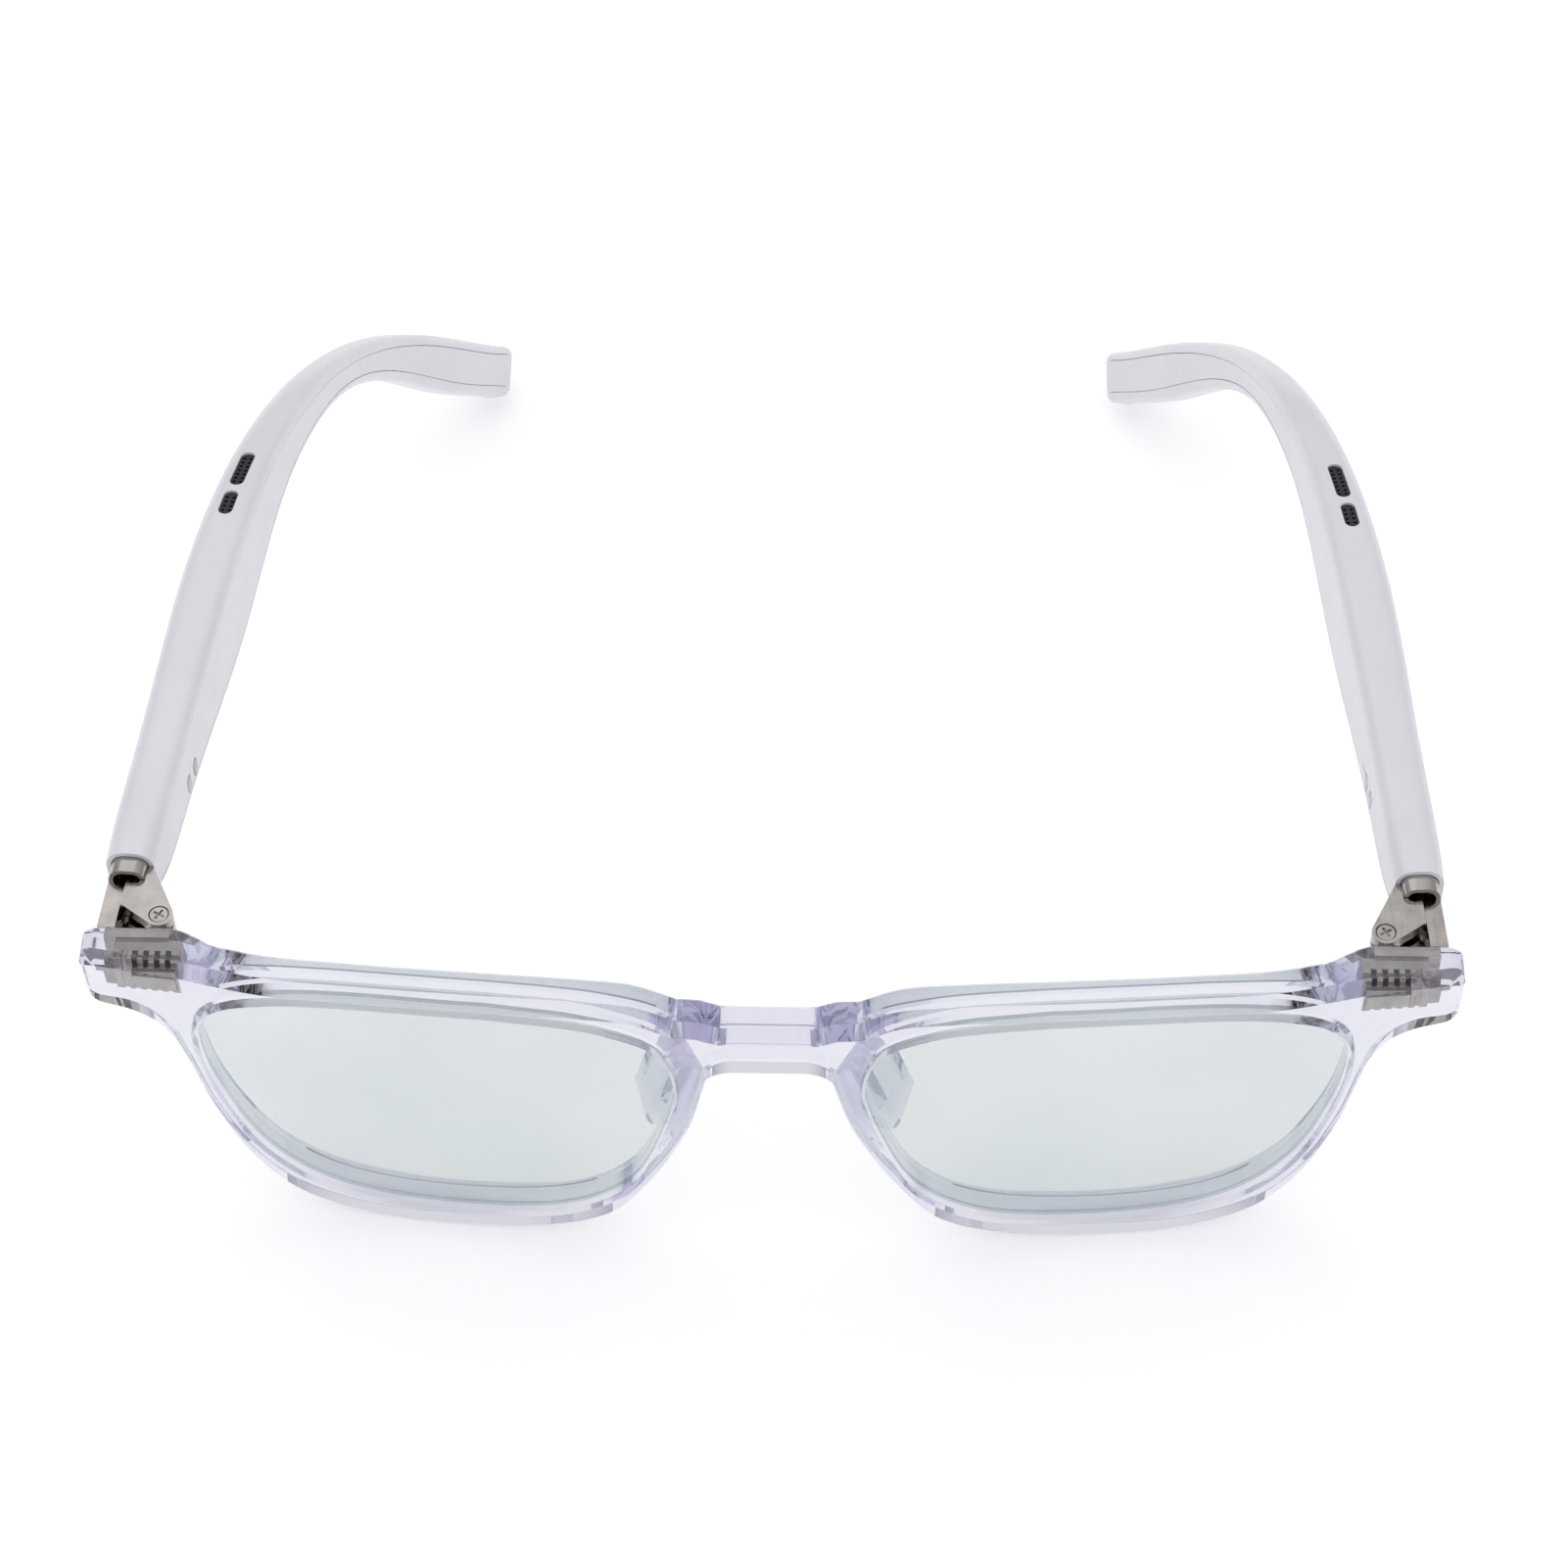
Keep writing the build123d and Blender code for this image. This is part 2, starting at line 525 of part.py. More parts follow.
def stretch(start, end):
    """Stations from start to end that include every section between them."""
    inner = [section[0] for section in TEMPLE_SECTIONS if start + 2 < section[0] < end - 2]
    return (start, *inner, end)


def top_plane(distance):
    """Plane on the top of the temple, with local x along it and its normal up."""
    across = station(distance, height=temple_size(distance)[1] / 2)
    return Plane(origin=across.origin, x_dir=-across.z_dir, z_dir=across.y_dir)


def inner_plane(distance, height):
    """Plane on the inner face of the temple, with local x up and its normal inwards."""
    across = station(distance, height=height, side=-temple_size(distance)[0] / 2)
    return Plane(origin=across.origin, x_dir=across.y_dir, z_dir=-across.x_dir)


def temple_housing():
    """Outer shell: hollow as far as the neck, with a bed for the inner cover."""
    inset = CAP_GAP - COVER_GAP
    bore = temple_loft((-1.0, CAP_FLANGE[1]), inset, inset, inset, 1.3, 1.75)
    front = CAP_FLANGE[1] - 0.1
    cavity = temple_loft(stretch(front, CAVITY_END), COVER_THICKNESS - 0.2, WALL, WALL, 0.3, 0.8)
    cap_seat = temple_loft((front, CAP_END), COVER_THICKNESS - 0.2, 0.6, WALL, 0.3, 1.2)
    with BuildPart() as housing:
        add(temple_loft(stretch(0, TEMPLE_LENGTH), 0, 0, 0, INNER_ROUND, OUTER_ROUND, FRONT_ROUND).part)
        fillet(housing.faces().sort_by(Axis.Y)[-1].edges(), TIP_ROUND)
        add(bore.part, mode=Mode.SUBTRACT)
        add(cavity.part, mode=Mode.SUBTRACT)
        add(cap_seat.part, mode=Mode.SUBTRACT)
        add(cover_bed().part, mode=Mode.SUBTRACT)
        for distance, length in SPEAKER_SLOTS:
            with BuildSketch(top_plane(distance).offset(1.0)):
                SlotOverall(length, SLOT_WIDTH)
            extrude(amount=-3.0, mode=Mode.SUBTRACT)
    return housing


def plate_loft(start, end, low, high, edge_inset):
    """A plate on the temple's inner side, between two depths measured outwards from its face."""
    with BuildPart() as plate:
        for distance in stretch(start, end):
            width, height = temple_size(distance)
            with BuildSketch(station(distance)):
                with Locations(((low + high - width) / 2, 0)):
                    Rectangle(high - low, height - 2 * edge_inset)
        loft()
    return plate


def cover_bed():
    return plate_loft(COVER_START, TEMPLE_LENGTH - COVER_END, -1.0, COVER_THICKNESS, COVER_INSET)


def temple_cover():
    """Inner cover, flush with the housing's lip, with windows for the charging contacts."""
    gap = COVER_GAP
    with BuildPart() as cover:
        add(plate_loft(COVER_START + gap, TEMPLE_LENGTH - COVER_END - gap, 0, COVER_THICKNESS - gap,
                       COVER_INSET + gap).part)
        for distance, height in CONTACT_SPOTS:
            with BuildSketch(inner_plane(distance, height).offset(1.0)):
                SlotOverall(*CONTACT_SIZE)
            extrude(amount=-3.0, mode=Mode.SUBTRACT)
    return cover


def speaker_grilles():
    """Perforated black meshes, one in each of the two sound slots."""
    with BuildPart() as grilles:
        for distance, length in SPEAKER_SLOTS:
            plane = top_plane(distance).offset(-GRILLE_RECESS)
            with BuildSketch(plane):
                SlotOverall(length - 2 * COVER_GAP, SLOT_WIDTH - 2 * COVER_GAP)
                with GridLocations(GRILLE_PITCH, GRILLE_PITCH, int((length - 1.0) / GRILLE_PITCH), 2):
                    Circle(GRILLE_HOLE_RADIUS, mode=Mode.SUBTRACT)
            extrude(amount=-GRILLE_THICKNESS)
    return grilles


def charge_contacts():
    """Two metal contacts, flush with the inner cover, that reach back to the circuit board."""
    with BuildPart() as contacts:
        for distance, height in CONTACT_SPOTS:
            with BuildSketch(inner_plane(distance, height)):
                SlotOverall(CONTACT_SIZE[0] - 2 * COVER_GAP, CONTACT_SIZE[1] - 2 * COVER_GAP)
            extrude(amount=-CONTACT_DEPTH)
    return contacts


def charge_magnet():
    """Disc magnet behind the cover that holds a charging lead to the contacts."""
    with BuildPart() as magnet:
        with BuildSketch(inner_plane(MAGNET_SPOT[0], MAGNET_SPOT[1]).offset(-COVER_THICKNESS - COVER_GAP)):
            Circle(MAGNET_RADIUS)
        extrude(amount=-MAGNET_THICKNESS)
        chamfer(magnet.faces().sort_by(Axis.X)[-1].edges(), 0.1)
    return magnet


def inside_block(distance, side, height, size, rounding):
    """Rounded block in the cavity. size is width, height and length along the temple."""
    with BuildPart() as block:
        with BuildSketch(station(distance, height=height, side=side).offset(-size[2] / 2)):
            RectangleRounded(size[0], size[1], rounding)
        extrude(amount=size[2])
    return block


def battery():
    """Lithium pouch cell with the folded tab strip at its front end."""
    cell = inside_block(BATTERY_AT, BATTERY_SIDE, 0.0, BATTERY_SIZE, 0.8)
    tab = inside_block(BATTERY_AT - BATTERY_SIZE[2] / 2 - 0.5, BATTERY_SIDE, 0.0, (1.0, 4.6, 1.1), 0.2)
    with BuildPart() as pouch:
        add(cell.part)
        add(tab.part)
    return pouch


def circuit_board():
    """Main board with its radio chip, memory and power parts on the outer side."""
    board = inside_block(BOARD_AT, BOARD_SIDE, 0.0, BOARD_SIZE, 0.2)
    chip_side = BOARD_SIDE + BOARD_SIZE[0] / 2
    with BuildPart() as populated:
        add(board.part)
        for offset, height, thickness, width, length in BOARD_CHIPS:
            chip = inside_block(BOARD_AT + offset, chip_side + thickness / 2 - 0.05, height,
                                (thickness + 0.1, width, length), 0.05)
            add(chip.part)
    return populated


def speaker():
    """Flat speaker driver below the sound slots, with its raised diaphragm ring."""
    side, height = SPEAKER_SPOT
    body = inside_block(SPEAKER_AT, side, height, SPEAKER_SIZE, 0.6)
    depth = temple_size(SPEAKER_AT)[1] / 2 - height - SPEAKER_SIZE[1] / 2
    with BuildPart() as driver:
        add(body.part)
        with BuildSketch(top_plane(SPEAKER_AT).offset(-depth)):
            SlotOverall(SPEAKER_SIZE[2] - 1.2, SPEAKER_SIZE[0] - 0.6)
            offset(amount=-0.5, mode=Mode.SUBTRACT)
        extrude(amount=0.4)
    return driver


def microphone():
    """Small capsule in the floor of the housing, behind the hinge cap."""
    return inside_block(MICROPHONE_AT, *MICROPHONE_SPOT, MICROPHONE_SIZE, 0.2)


def touch_sensor():
    """Thin sensing foil on the inside of the outer wall."""
    return inside_block(TOUCH_AT, *TOUCH_SPOT, TOUCH_SIZE, 0.05)


def ribbon_cable():
    """Flat cable along the floor of the cavity, from the board to the speaker."""
    with BuildPart() as ribbon:
        for distance in stretch(*RIBBON_ENDS):
            floor = WALL + 0.35 - temple_size(distance)[1] / 2
            with BuildSketch(station(distance, height=floor)):
                Rectangle(*RIBBON_SIZE)
        loft()
    return ribbon


# ---- build -----------------------------------------------------------------------------
os.makedirs("parts", exist_ok=True)

left_base = hinge_base()
save(front_frame(left_base), "front_frame")
save_pair(left_base, "hinge_base")
save_pair(lens_with_bevel(LENS_CLEARANCE), "lens")
save_pair(nose_pad(), "nose_pad")
save_pair(hinge_leaf(), "hinge_leaf")
save_pair(hinge_screw(), "hinge_screw")
save_pair(hinge_spring(), "hinge_spring")
save_pair(hinge_cap(), "hinge_cap")
save_pair(temple_housing(), "temple_housing")
save_pair(temple_cover(), "temple_cover")
save_pair(speaker_grilles(), "speaker_grille")
save_pair(charge_contacts(), "charge_contacts")
save_pair(charge_magnet(), "charge_magnet")
save_pair(battery(), "battery")
save_pair(circuit_board(), "circuit_board")
save_pair(speaker(), "speaker")
save_pair(microphone(), "microphone")
save_pair(touch_sensor(), "touch_sensor")
save_pair(ribbon_cable(), "ribbon_cable")
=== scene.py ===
import json
import math

import bmesh
import bpy
import numpy as np
from mathutils import Matrix, Vector
from mathutils.geometry import delaunay_2d_cdt


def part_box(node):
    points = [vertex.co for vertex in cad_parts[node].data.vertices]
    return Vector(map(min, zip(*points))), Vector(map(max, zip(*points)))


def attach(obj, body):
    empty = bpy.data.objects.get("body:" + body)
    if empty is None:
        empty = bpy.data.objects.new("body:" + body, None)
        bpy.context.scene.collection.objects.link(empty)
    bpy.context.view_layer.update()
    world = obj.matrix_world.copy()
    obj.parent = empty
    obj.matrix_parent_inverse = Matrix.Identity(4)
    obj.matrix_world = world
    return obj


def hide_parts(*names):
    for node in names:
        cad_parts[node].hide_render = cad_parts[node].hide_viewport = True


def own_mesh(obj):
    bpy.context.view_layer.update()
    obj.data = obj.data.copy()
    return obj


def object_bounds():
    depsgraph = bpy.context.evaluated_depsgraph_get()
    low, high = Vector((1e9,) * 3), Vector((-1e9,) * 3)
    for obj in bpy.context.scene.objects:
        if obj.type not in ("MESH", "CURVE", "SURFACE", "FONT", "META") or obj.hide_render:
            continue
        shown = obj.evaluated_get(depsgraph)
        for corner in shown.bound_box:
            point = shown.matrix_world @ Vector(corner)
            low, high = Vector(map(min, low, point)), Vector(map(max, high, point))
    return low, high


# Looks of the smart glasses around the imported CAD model. Metres, in the row frame: +X is the
# wearer's left, +Y points back to the ears and +Z is up.

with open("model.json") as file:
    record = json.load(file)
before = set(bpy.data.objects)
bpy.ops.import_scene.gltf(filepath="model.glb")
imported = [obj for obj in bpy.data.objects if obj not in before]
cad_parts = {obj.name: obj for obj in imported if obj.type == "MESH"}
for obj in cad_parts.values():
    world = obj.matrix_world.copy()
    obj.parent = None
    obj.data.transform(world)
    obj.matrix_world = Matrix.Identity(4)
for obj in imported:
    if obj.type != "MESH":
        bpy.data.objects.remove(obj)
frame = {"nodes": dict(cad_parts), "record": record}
cad_low, cad_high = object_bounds()
MM = 0.001

# ---- the front's design sizes, in millimetres, as in the CAD source -------------------------
THICKNESS = 4.2
PLAN_RADIUS = 400.0
TILT = math.radians(5.0)
BLOCK_INSIDE = 61.6
BLOCK_RAMP = 57.4
BLOCK_BACK = 7.3
ENDPIECE_OUTSIDE = 71.0
ENDPIECE_ROUND = 1.8
BROW = 8.0
UNDERSIDE = -1.0
RIM_LOWEST = -39.7
BRIDGE_TOP = 4.0
BRIDGE_STEP = 4.8
BRIDGE_UNDERSIDE = -3.1
ARCH_FLAT = 3.4
ARCH_RADIUS = 3.4
TOP_BEVEL = 1.3
LOW_BEVEL = 0.4
BACK_BEVEL = 0.35
LENS_TOP_BEVEL = 0.9
LENS_LOW_BEVEL = 0.4
BEVEL_SPREAD = 1.4  # above 1, the full top bevel starts before an edge faces straight up
SPRING_RADIUS = 0.75
SPRING_WIRE = 0.17
SPRING_LENGTH = 5.1
SPRING_TURNS = 7

# ---- optical values: refractive indices, the depth of a long light path, the tint's strength -----
ACETATE_INDEX = 1.49
PAD_INDEX = 1.18  # below real acetate, so that the pads' edges stay faint behind the lenses
LENS_INDEX = 1.45
DEEP_PATH = 5.5
TINT_DENSITY = 75.0


# ---- materials ------------------------------------------------------------------------------
class Shader:
    """A small helper that adds and joins nodes of one material."""

    def __init__(self, name):
        self.material = bpy.data.materials.new(name)
        self.material.use_nodes = True
        self.tree = self.material.node_tree
        self.tree.nodes.clear()
        self.out = self.tree.nodes.new("ShaderNodeOutputMaterial")
        self.coords = self.tree.nodes.new("ShaderNodeTexCoord").outputs["Object"]

    def add(self, kind, **values):
        """A new node; each value is a setting of the node, or goes to the input of that name."""
        node = self.tree.nodes.new("ShaderNode" + kind)
        for key, value in values.items():
            if hasattr(node, key) and key not in node.inputs:
                setattr(node, key, value)
            else:
                self.set(node, key.replace("_", " "), value)
        return node

    def set(self, node, socket, value):
        """Links an input to another node's output, or gives it a plain value."""
        target = node.inputs[socket]
        if isinstance(value, bpy.types.NodeSocket):
            self.tree.links.new(value, target)
        elif isinstance(value, tuple) and target.type == "RGBA":
            target.default_value = (*value, 1)
        else:
            target.default_value = value

    def noise(self, scale, detail=3.0, stretch=None):
        """Noise value; scale is in waves per metre, stretch makes it run along an axis."""
        node = self.add("TexNoise", Scale=scale, Detail=detail)
        source = self.coords
        if stretch:
            source = self.add("Mapping", Scale=stretch, Vector=source).outputs["Vector"]
        self.set(node, "Vector", source)
        return node.outputs["Fac"]

    def ramp(self, value, low, high, low_at=0.35, high_at=0.65):
        """Maps a value to a number between low and high, or to a colour between two colours."""
        if isinstance(low, tuple):
            node = self.add("ValToRGB", Fac=value)
            for stop, position, color in zip(node.color_ramp.elements, (low_at, high_at), (low, high)):
                stop.position = position
                stop.color = (*color, 1)
            return node.outputs["Color"]
        node = self.add("MapRange", Value=value, From_Min=low_at, From_Max=high_at, To_Min=low, To_Max=high)
        return node.outputs["Result"]

    def bump(self, value, depth, strength):
        """A normal that follows a value as a height; depth is in metres."""
        return self.add("Bump", Strength=strength, Distance=depth, Height=value).outputs["Normal"]

    def principled(self, color, roughness, metallic=0.0, **extra):
        node = self.add("BsdfPrincipled", Base_Color=color, Roughness=roughness, Metallic=metallic, **extra)
        return node.outputs["BSDF"]

    def mix(self, share, first, second):
        """The first shader where share is 0, and the second where it is 1."""
        node = self.add("MixShader")
        for socket, value in enumerate((share, first, second)):
            self.set(node, socket, value)
        return node.outputs[0]

    def calculate(self, operation, first, second):
        """The result of a sum, product or comparison of two numbers."""
        node = self.add("Math", operation=operation)
        self.set(node, 0, first)
        self.set(node, 1, second)
        return node.outputs[0]

    def surface(self, shader):
        self.set(self.out, "Surface", shader)
        return self.material


def acetate_material(name, index):
    """Clear acetate with a faint lavender body tint; it lets most light through to its shadow.

    A light path with more than DEEP_PATH bounces ends in a painted pale lavender glow, an emission that
    stands in for the light of the many further bounces inside the piece.
    """
    s = Shader(name)
    haze = s.noise(160.0)
    glass = s.principled(s.ramp(haze, (0.865, 0.873, 0.90), (0.895, 0.90, 0.92)),
                         s.ramp(s.noise(900.0), 0.0, 0.018), Transmission_Weight=1.0, IOR=index,
                         Normal=s.bump(s.noise(70.0, 1.0), 0.00002, 0.25))
    clear = s.add("BsdfTransparent", Color=(0.93, 0.925, 0.95))
    path = s.add("LightPath")
    deep = s.calculate("GREATER_THAN", path.outputs["Ray Depth"], DEEP_PATH)
    # painted light: beyond DEEP_PATH bounces the acetate glows pale lavender instead of tracing more light
    glow = s.add("Emission", Color=(0.95, 0.93, 1.0))
    inner = s.mix(deep, glass, glow.outputs[0])
    outer = s.mix(path.outputs["Is Shadow Ray"], inner, clear.outputs[0])
    body = s.add("VolumeAbsorption", Color=(0.66, 0.65, 0.78), Density=TINT_DENSITY)
    s.set(s.out, "Volume", body.outputs[0])
    return s.surface(outer)


def lens_material():
    """Thin coated lens: a grey-green tint, a soft mirror that grows at grazing angles, dust specks."""
    s = Shader("tinted_lens")
    cells = s.add("TexVoronoi", Scale=420.0, Vector=s.coords)
    speck = s.ramp(cells.outputs["Distance"], 0.0, 1.0, 0.03, 0.05)
    cloud = s.ramp(s.noise(45.0), (0.825, 0.850, 0.848), (0.850, 0.872, 0.870))
    tint = s.add("MixRGB", Fac=speck, Color1=(0.74, 0.76, 0.77), Color2=cloud)
    clear = s.add("BsdfTransparent", Color=tint.outputs[0])
    polish = s.ramp(s.noise(300.0), 0.015, 0.05)
    gloss = s.add("BsdfGlossy", Color=(0.90, 0.97, 0.95), Roughness=polish)
    edge = s.add("Fresnel", IOR=LENS_INDEX)
    outside = s.calculate("SUBTRACT", 1.0, s.add("NewGeometry").outputs["Backfacing"])
    share = s.calculate("MULTIPLY", edge.outputs[0], outside)
    return s.surface(s.mix(share, clear.outputs[0], gloss.outputs[0]))


def metal_material(name, dark, light, rough, grain):
    """Satin metal: cloudy colour, uneven polish and fine brush lines along the part."""
    s = Shader(name)
    colour = s.ramp(s.noise(500.0), dark, light)
    lines = s.noise(2600.0, 2.0, grain)
    polish = s.ramp(lines, rough - 0.07, rough + 0.08)
    return s.surface(s.principled(colour, polish, 1.0, Normal=s.bump(lines, 0.000004, 0.3)))


def plastic_material(name, dark, light, rough, coat=0.0, grain=2500.0, depth=0.000004):
    """Moulded plastic: very slight colour drift, uneven gloss and a fine moulded grain."""
    s = Shader(name)
    colour = s.ramp(s.noise(120.0), dark, light)
    fine = s.noise(grain)
    polish = s.ramp(s.noise(700.0), rough - 0.04, rough + 0.05)
    return s.surface(s.principled(colour, polish, Normal=s.bump(fine, depth, 0.2), Coat_Weight=coat,
                                  Coat_Roughness=0.06))


def board_material():
    """Green solder mask with darker tracks."""
    s = Shader("circuit_board")
    bricks = s.add("TexBrick", Scale=900.0, Vector=s.coords, Color1=(0.015, 0.11, 0.05),
                   Color2=(0.02, 0.15, 0.07), Mortar=(0.05, 0.24, 0.12))
    return s.surface(s.principled(bricks.outputs["Color"], s.ramp(s.noise(900.0), 0.3, 0.45)))


MATERIALS = {
    "clear_acetate": acetate_material("clear_acetate", ACETATE_INDEX),
    "pad_acetate": acetate_material("pad_acetate", PAD_INDEX),
    "lens": lens_material(),
    "hinge_metal": metal_material("nickel", (0.38, 0.355, 0.335), (0.46, 0.435, 0.41), 0.14, (1, 0.15, 1)),
    "spring_steel": metal_material("spring_wire", (0.34, 0.34, 0.35), (0.48, 0.48, 0.49), 0.3, (1, 1, 1)),
    "white_shell": plastic_material("white_shell", (0.70, 0.695, 0.722), (0.725, 0.72, 0.748), 0.34, 0.30,
                                    600.0, 0.000001),
    "black_mesh": plastic_material("black_mesh", (0.006, 0.006, 0.008), (0.02, 0.02, 0.022), 0.5),
    "contact_metal": metal_material("contact_metal", (0.26, 0.26, 0.27), (0.36, 0.36, 0.37), 0.16, (1, 1, 1)),
    "magnet": metal_material("magnet", (0.5, 0.5, 0.5), (0.62, 0.62, 0.62), 0.15, (1, 1, 1)),
    "battery_pouch": metal_material("battery_foil", (0.62, 0.63, 0.65), (0.75, 0.76, 0.78), 0.35,
                                    (1, 1, 0.2)),
    "circuit_board": board_material(),
    "black_plastic": plastic_material("black_plastic", (0.012, 0.012, 0.013), (0.03, 0.03, 0.032), 0.42),
    "copper_foil": metal_material("copper_foil", (0.62, 0.34, 0.14), (0.8, 0.5, 0.25), 0.3, (1, 0.2, 1)),
}


# ---- helpers --------------------------------------------------------------------------------
SAME_POINT = 1e-7
FACET_ANGLE = math.radians(22)
RING_STEP = 0.5
RING_GAP = 0.02


def new_piece(name, verts, faces, slot, body):
    """A new visible piece that rides on a body, with merged points and outward faces."""
    mesh = bpy.data.meshes.new(name)
    mesh.from_pydata([tuple(v) for v in verts], [], faces)
    work = bmesh.new()
    work.from_mesh(mesh)
    bmesh.ops.remove_doubles(work, verts=work.verts, dist=SAME_POINT)
    bmesh.ops.dissolve_degenerate(work, edges=work.edges, dist=SAME_POINT)
    bmesh.ops.recalc_face_normals(work, faces=work.faces)
    work.to_mesh(mesh)
    work.free()
    mesh.materials.append(MATERIALS[slot])
    mesh.shade_smooth()
    mesh.set_sharp_from_angle(angle=FACET_ANGLE)
    piece = bpy.data.objects.new(name, mesh)
    bpy.context.scene.collection.objects.link(piece)
    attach(piece, body)
    return piece


def smooth_through(points, step):
    """Points along a smooth curve through the given ones, about one step apart."""
    ends = [2 * np.array(points[0]) - np.array(points[1]), 2 * np.array(points[-1]) - np.array(points[-2])]
    knots = [ends[0], *(np.array(p, float) for p in points), ends[1]]
    curve = []
    for a, b, c, d in zip(knots, knots[1:], knots[2:], knots[3:]):
        spans = [max(np.linalg.norm(q - p), 1e-6) ** 0.5 for p, q in ((a, b), (b, c), (c, d))]
        slope_b = (b - a) / spans[0] - (c - a) / (spans[0] + spans[1]) + (c - b) / spans[1]
        slope_c = (c - b) / spans[1] - (d - b) / (spans[1] + spans[2]) + (d - c) / spans[2]
        slope_b, slope_c = slope_b * spans[1], slope_c * spans[1]
        count = max(2, int(np.linalg.norm(c - b) / step))
        for t in np.arange(count) / count:
            h = (2 * t**3 - 3 * t**2 + 1, t**3 - 2 * t**2 + t, -2 * t**3 + 3 * t**2, t**3 - t**2)
            curve.append(h[0] * b + h[1] * slope_b + h[2] * c + h[3] * slope_c)
    curve.append(np.array(points[-1], float))
    return curve


def arc(middle, radius, start, end, count=10):
    """Points along an arc, from one angle to another in degrees."""
    angles = np.radians(np.linspace(start, end, count))
    return [np.array((middle[0] + radius * math.cos(a), middle[1] + radius * math.sin(a))) for a in angles]


def line(start, end, step=0.8):
    """Points along a straight line, about one step apart."""
    count = max(2, int(math.dist(start, end) / step) + 1)
    return [np.array(start) + (np.array(end) - np.array(start)) * t for t in np.linspace(0, 1, count)]


def clean_ring(points):
    """A closed ring without points that lie on their neighbour."""
    ring = []
    for p in points:
        if not ring or np.linalg.norm(p - ring[-1]) > RING_GAP:
            ring.append(p)
    if np.linalg.norm(ring[0] - ring[-1]) < RING_GAP:
        ring.pop()
    return np.array(ring)


def half_outline():
    """The outer outline of the wearer's left half, from the bridge's top round to its underside."""
    turn = ENDPIECE_OUTSIDE - ENDPIECE_ROUND
    points = line((0, BRIDGE_TOP), (BRIDGE_STEP, BRIDGE_TOP))
    points += line((BRIDGE_STEP, BRIDGE_TOP), (7.0, 5.0)) + line((7.0, 5.0), (9.2, 5.1))
    points += smooth_through([(9.2, 5.1), (13.5, 7.4), (19.5, BROW), (30.0, 7.9), (43.5, 7.3), (51.5, 6.9),
                              (56.0, 7.3), (60.5, BROW)], RING_STEP)
    points += line((60.5, BROW), (turn, BROW))
    points += arc((turn, BROW - ENDPIECE_ROUND), ENDPIECE_ROUND, 90, 0)
    points += line((ENDPIECE_OUTSIDE, BROW - ENDPIECE_ROUND), (ENDPIECE_OUTSIDE, UNDERSIDE + ENDPIECE_ROUND))
    points += arc((turn, UNDERSIDE + ENDPIECE_ROUND), ENDPIECE_ROUND, 0, -90)
    points += smooth_through([(turn, UNDERSIDE), (66.6, -1.5), (64.5, -2.9), (62.9, -6.0), (62.0, -10.0),
                              (60.2, -20.4), (57.1, -30.0), (52.7, -36.1), (45.6, -39.2), (35.0, RIM_LOWEST),
                              (25.4, -38.3), (18.1, -34.7), (12.9, -26.1), (8.8, -15.4), (6.76, -5.97)],
                             RING_STEP)
    points += arc((ARCH_FLAT, BRIDGE_UNDERSIDE - ARCH_RADIUS), ARCH_RADIUS, 9, 90)
    points += line((ARCH_FLAT, BRIDGE_UNDERSIDE), (0, BRIDGE_UNDERSIDE))
    return points


def lens_ring():
    """The lens opening of the wearer's left side, clockwise from the middle of its top."""
    points = [(29.0, 4.4), (38.0, 4.2), (46.0, 3.65), (52.0, 2.5), (57.0, 0.2), (59.6, -3.4), (60.3, -8.5),
              (58.8, -18.6), (55.4, -28.0), (49.8, -33.8), (41.5, -36.3), (31.8, -36.4), (22.4, -34.5),
              (15.8, -28.7), (11.9, -18.5), (10.0, -7.8), (11.8, -0.6), (17.4, 2.9), (22.0, 3.85),
              (29.0, 4.4)]
    return clean_ring(smooth_through(points, RING_STEP))


def outward_normals(ring):
    """Mitred outward normals of a closed ring that runs clockwise."""
    before = ring - np.roll(ring, 1, axis=0)
    after = np.roll(ring, -1, axis=0) - ring
    before /= np.linalg.norm(before, axis=1)[:, None]
    after /= np.linalg.norm(after, axis=1)[:, None]
    normal = np.stack((-(before + after)[:, 1], (before + after)[:, 0]), axis=1)
    normal /= np.linalg.norm(normal, axis=1)[:, None]
    side = np.stack((-before[:, 1], before[:, 0]), axis=1)
    return normal / np.maximum((normal * side).sum(axis=1), 0.6)[:, None]


def shell_depth(x, near):
    """Depth of the curved plate's surface at x; near is 0 for its front and THICKNESS for its back."""
    return PLAN_RADIUS - THICKNESS / 2 - math.sqrt((PLAN_RADIUS - near) ** 2 - x * x)


def back_depth(x, height):
    """Depth of the front's back face, which ramps from the curved plate to the upright end block."""
    block = (BLOCK_BACK + height * math.sin(TILT)) / math.cos(TILT)
    share = min(max((abs(x) - BLOCK_RAMP) / (BLOCK_INSIDE - BLOCK_RAMP), 0), 1)
    return shell_depth(x, THICKNESS) * (1 - share) + block * share


def in_space(x, height, depth):
    """A point of the leaning front plane, in metres of the row frame."""
    return ((x * MM), (depth * math.cos(TILT) - height * math.sin(TILT)) * MM,
            (height * math.cos(TILT) + depth * math.sin(TILT)) * MM)


def inside(ring, x, y):
    """Whether a point is inside a closed ring, by counting crossings."""
    hit = False
    for (x1, y1), (x2, y2) in zip(ring, np.roll(ring, -1, axis=0)):
        if (y1 > y) != (y2 > y) and x < (x2 - x1) * (y - y1) / (y2 - y1) + x1:
            hit = not hit
    return hit


# ---- front ----------------------------------------------------------------------------------
# A grid of points holds up the triangles of the front and back faces; it keeps clear of the edges.
FILL_SIDE = 69.5
FILL_LOW = -39.5
FILL_STEP = 2.0
FILL_CLEAR = 0.8
FILL_MERGE = 1e-5


